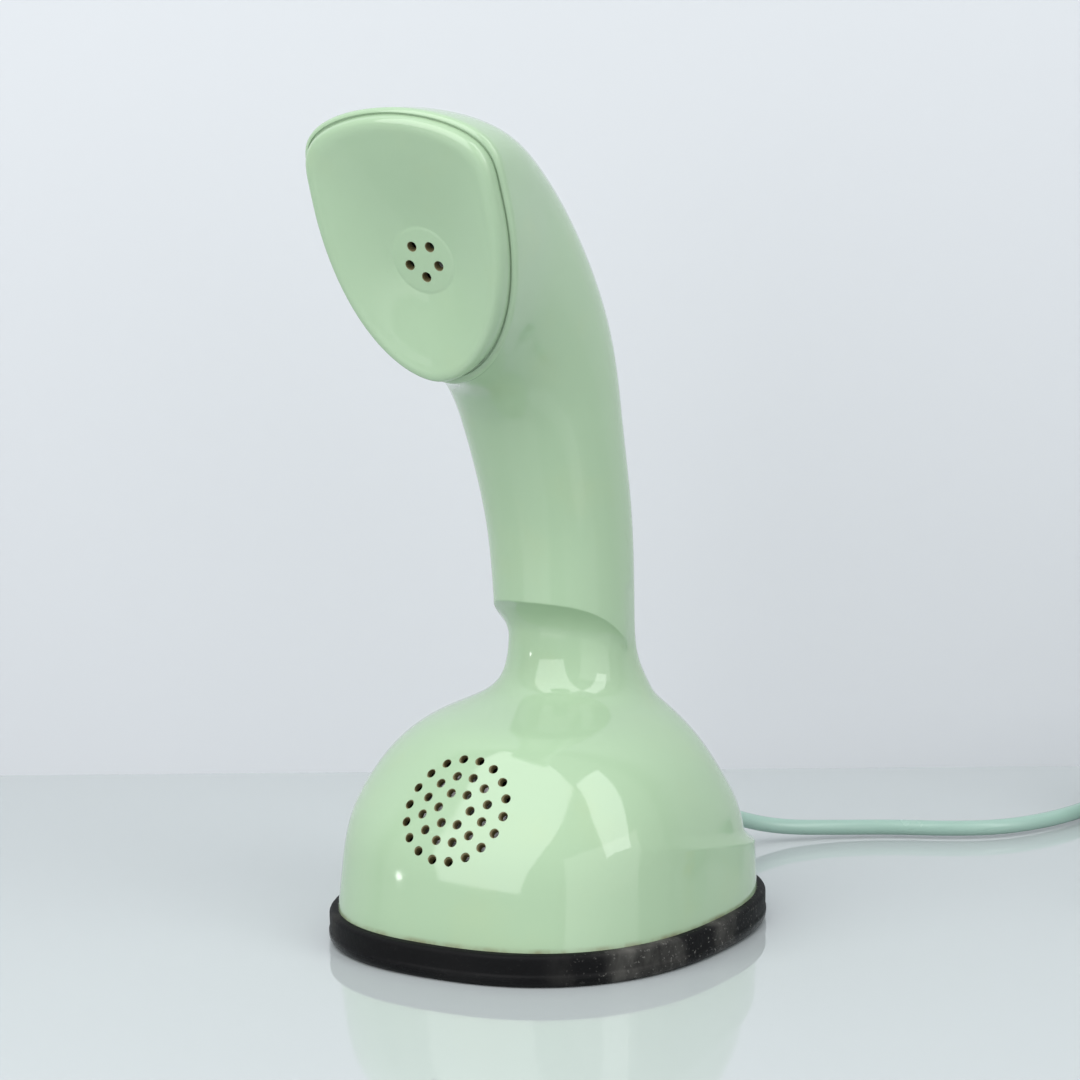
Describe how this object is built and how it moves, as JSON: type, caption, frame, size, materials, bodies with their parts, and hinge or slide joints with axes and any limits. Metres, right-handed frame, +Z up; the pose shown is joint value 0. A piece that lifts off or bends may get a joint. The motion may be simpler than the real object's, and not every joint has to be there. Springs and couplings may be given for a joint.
{
  "type": "one-piece telephone",
  "caption": "Upright one-piece telephone with a flowing handle over a domed base, ear cap on top, a dial underneath and a hook button in its centre.",
  "frame": {"origin": "centre of the flat underside of the base ring, on the dial axis", "axes": "+Z up the telephone, -Y towards the side with the ear cap and mouthpiece, X across; the cord leaves towards +Y"},
  "size_m": [0.221, 0.327, 0.2336],
  "materials": {
    "shell_plastic": "glossy aged moulding",
    "base_rubber": "matt, dusty",
    "plated_steel": "zinc plated",
    "base_metal": "semi-matt black",
    "works_brass": "turned",
    "dial_plastic": "glossy",
    "insulator": "laminate",
    "copper_winding": "varnished wire",
    "core_iron": "bare",
    "capacitor_case": "drawn can",
    "capsule_metal": "satin",
    "lead_sheath": "flexible",
    "cord_sheath": "smooth sheath",
    "tie_strap": "satin"
  },
  "bodies": {
    "housing": {"base_plate": "base_metal", "base_ring": "base_rubber", "base_screws": "plated_steel", "bridge_pillars": "plated_steel", "capacitor": "capacitor_case", "coil_bobbin": "insulator", "coil_core": "core_iron", "coil_tie": "tie_strap", "coil_winding": "copper_winding", "contact_insulators": "insulator", "contact_leaves": "works_brass", "cord_coil": "cord_sheath", "cord_end": "cord_sheath", "cord_gland": "cord_sheath", "cord_tail": "cord_sheath", "dial_bridge": "works_brass", "dial_frame": "works_brass", "ear_cap": "shell_plastic", "finger_stop": "plated_steel", "governor_cup": "works_brass", "hinge_pin": "plated_steel", "housing": "shell_plastic", "impulse_block": "insulator", "impulse_springs": "works_brass", "line_cord": "cord_sheath", "number_ring": "dial_plastic", "plate_screws": "plated_steel", "plug_body": "cord_sheath", "plug_pins": "works_brass", "plug_screw": "plated_steel", "plunger_spring": "plated_steel", "receiver": "capsule_metal", "receiver_clip": "works_brass", "receiver_lead": "lead_sheath", "receiver_pad": "base_rubber", "return_spring": "plated_steel", "switch_strap": "plated_steel", "terminal_block": "insulator", "terminal_screws": "plated_steel", "transmitter": "capsule_metal", "transmitter_bracket": "plated_steel", "transmitter_ring": "base_rubber"},
    "dial": {"finger_wheel": "dial_plastic", "hub_screws": "plated_steel", "dial_shaft": "works_brass", "drive_gear": "works_brass", "shaft_ring": "plated_steel"},
    "idler": {"idler_arbor": "plated_steel", "idler_pinion": "works_brass", "idler_wheel": "works_brass", "impulse_cam": "insulator"},
    "governor": {"governor_arbor": "plated_steel", "governor_pinion": "works_brass", "governor_arm": "plated_steel", "governor_weights": "works_brass"},
    "plunger": {"hook_button": "dial_plastic"},
    "lever": {"switch_lever": "insulator"}
  },
  "joints": [
    {"name": "dial_turn", "type": "hinge", "parent": "housing", "child": "dial", "pos_m": [0, 0, 0.003], "axis": [0, 0, 1], "range_deg": [0, 315], "stiffness_Nm_per_rad": 0.0015, "springref_deg": -34.38},
    {"name": "idler_turn", "type": "hinge", "parent": "housing", "child": "idler", "pos_m": [-0.02079, 0.012, 0.017], "axis": [0, 0, 1], "range_deg": [-1260, 0]},
    {"name": "governor_turn", "type": "hinge", "parent": "housing", "child": "governor", "pos_m": [-0.01947, 0.02453, 0.02], "axis": [0, 0, 1], "range_deg": [0, 4032]},
    {"name": "hook_slide", "type": "slide", "parent": "housing", "child": "plunger", "axis": [0, 0, -1], "range_m": [0, 0.005], "stiffness_N_per_m": 60, "springref_m": 0.006},
    {"name": "lever_swing", "type": "hinge", "parent": "housing", "child": "lever", "pos_m": [0.012, 0, 0.036], "axis": [0, -1, 0], "range_deg": [0, 20.5]}
  ],
  "couplings": [
    {"joint": "idler_turn", "follows": "dial_turn", "ratio": -4},
    {"joint": "governor_turn", "follows": "dial_turn", "ratio": 12.8},
    {"joint": "lever_swing", "follows": "hook_slide", "rad_per_m": 71.558}
  ]
}
